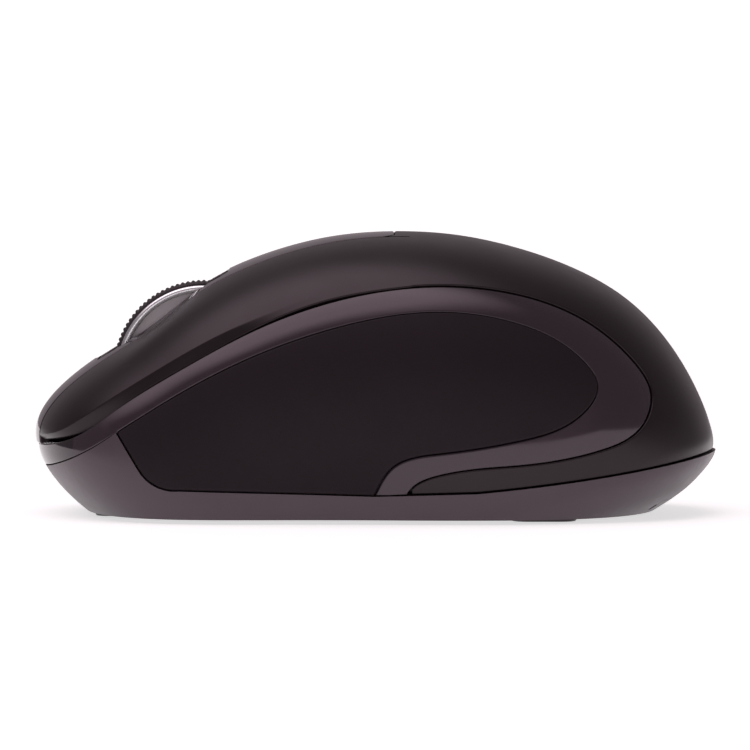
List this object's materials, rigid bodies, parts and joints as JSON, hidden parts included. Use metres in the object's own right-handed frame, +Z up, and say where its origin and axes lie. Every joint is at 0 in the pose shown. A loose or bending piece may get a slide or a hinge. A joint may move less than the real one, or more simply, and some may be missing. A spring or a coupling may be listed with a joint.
{
  "type": "computer mouse",
  "caption": "Compact wireless optical mouse: domed case, two sprung keys, clickable scroll wheel, inset side grips, sliding battery door and USB receiver.",
  "frame": {"origin": "centre of the bounding box on the desk plane, at the bottom of the glide feet", "axes": "+Y towards the nose with the scroll wheel, +X to the user's right, +Z up"},
  "size_m": [0.0562, 0.095, 0.0393],
  "materials": {
    "soft_black": "soft-touch satin, very fine grain",
    "gloss_black": "polished piano gloss",
    "band_gloss": "polished, slightly warm dark grey",
    "grip_rubber": "moulded rubber, fine matte texture",
    "base_satin": "satin moulded ABS",
    "wheel_grey": "satin grey with bright rims",
    "tyre_rubber": "ribbed rubber",
    "steel": "bright steel",
    "spring_steel": "nickel plated spring steel",
    "board_green": "solder mask green",
    "chip_black": "moulded epoxy",
    "switch_black": "moulded nylon",
    "switch_white": "moulded acetal",
    "frame_plastic": "unpainted glass-filled plastic",
    "cell_jacket": "printed film jacket, plain",
    "can_silver": "drawn aluminium can",
    "clear_lens": "clear acrylic optics",
    "smoke_window": "smoked light pipe",
    "led_body": "clear emitter package",
    "ptfe_pad": "low-friction glide pad"
  },
  "bodies": {
    "case": {"base_shell": "base_satin", "battery_holder": "frame_plastic", "left_battery": "cell_jacket", "right_battery": "cell_jacket", "battery_contacts": "spring_steel", "battery_springs": "spring_steel", "main_board": "board_green", "board_screws": "steel", "case_screws": "steel", "controller_chip": "chip_black", "clock_crystal": "can_silver", "capacitor": "can_silver", "sensor_chip": "chip_black", "sensor_led": "led_body", "sensor_lens": "clear_lens", "left_switch": "switch_black", "right_switch": "switch_black", "wheel_switch": "switch_black", "cradle_spring": "spring_steel", "centre_console": "gloss_black", "slot_bezel": "gloss_black", "status_window": "smoke_window", "top_cover": "soft_black", "left_pivot_pin": "steel", "right_pivot_pin": "steel", "nose_trim": "gloss_black", "left_band": "band_gloss", "right_band": "band_gloss", "left_grip": "grip_rubber", "right_grip": "grip_rubber", "power_switch": "switch_black", "pairing_switch": "switch_black", "glide_feet": "ptfe_pad"},
    "door": {"battery_door": "base_satin"},
    "left_key": {"left_button": "soft_black"},
    "right_key": {"right_button": "soft_black"},
    "left_switch_plunger": {"left_plunger": "switch_white"},
    "right_switch_plunger": {"right_plunger": "switch_white"},
    "cradle": {"wheel_cradle": "frame_plastic", "encoder_housing": "frame_plastic"},
    "wheel": {"wheel_hub": "wheel_grey", "wheel_tyre": "tyre_rubber", "wheel_axle": "steel", "encoder_rotor": "switch_white"},
    "wheel_switch_plunger": {"wheel_plunger": "switch_white"},
    "slider": {"power_slider": "frame_plastic"},
    "pairing_key": {"pairing_button": "frame_plastic"},
    "receiver": {"receiver_cap": "base_satin", "receiver_plug": "steel"}
  },
  "joints": [
    {"name": "left_click", "type": "hinge", "parent": "case", "child": "left_key", "pos_m": [-0.0124, -0.005, 0.0295], "axis": [-1, 0, 0], "range_deg": [0, 0.45], "stiffness_Nm_per_rad": 1.5, "springref_deg": -0.23},
    {"name": "right_click", "type": "hinge", "parent": "case", "child": "right_key", "pos_m": [0.0124, -0.005, 0.0295], "axis": [-1, 0, 0], "range_deg": [0, 0.45], "stiffness_Nm_per_rad": 1.5, "springref_deg": -0.23},
    {"name": "left_plunger_slide", "type": "slide", "parent": "case", "child": "left_switch_plunger", "axis": [0, 0, -1], "range_m": [0, 0.0003]},
    {"name": "right_plunger_slide", "type": "slide", "parent": "case", "child": "right_switch_plunger", "axis": [0, 0, -1], "range_m": [0, 0.0003]},
    {"name": "wheel_press", "type": "hinge", "parent": "case", "child": "cradle", "pos_m": [0, 0.0132, 0.0096], "axis": [-1, 0, 0], "range_deg": [0, 1.2], "stiffness_Nm_per_rad": 0.5, "springref_deg": -0.57},
    {"name": "wheel_spin", "type": "hinge", "parent": "cradle", "child": "wheel", "pos_m": [0, 0.024, 0.0198], "axis": [1, 0, 0], "continuous": true},
    {"name": "wheel_plunger_slide", "type": "slide", "parent": "case", "child": "wheel_switch_plunger", "axis": [0, 0, -1], "range_m": [0, 0.00032]},
    {"name": "power_slide", "type": "slide", "parent": "case", "child": "slider", "axis": [0, 1, 0], "range_m": [0, 0.0026]},
    {"name": "pairing_press", "type": "slide", "parent": "case", "child": "pairing_key", "axis": [0, 0, 1], "range_m": [0, 0.00025], "stiffness_N_per_m": 500, "springref_m": -0.0002},
    {"name": "door_slide", "type": "slide", "parent": "case", "child": "door", "axis": [0, -1, 0], "range_m": [0, 0.045]},
    {"name": "receiver_slide", "type": "slide", "parent": "case", "child": "receiver", "axis": [0, 0, -1], "range_m": [0, 0.02]}
  ],
  "couplings": [
    {"joint": "left_plunger_slide", "follows": "left_click", "m_per_rad": 0.037},
    {"joint": "right_plunger_slide", "follows": "right_click", "m_per_rad": 0.037},
    {"joint": "wheel_plunger_slide", "follows": "wheel_press", "m_per_rad": 0.0149}
  ]
}
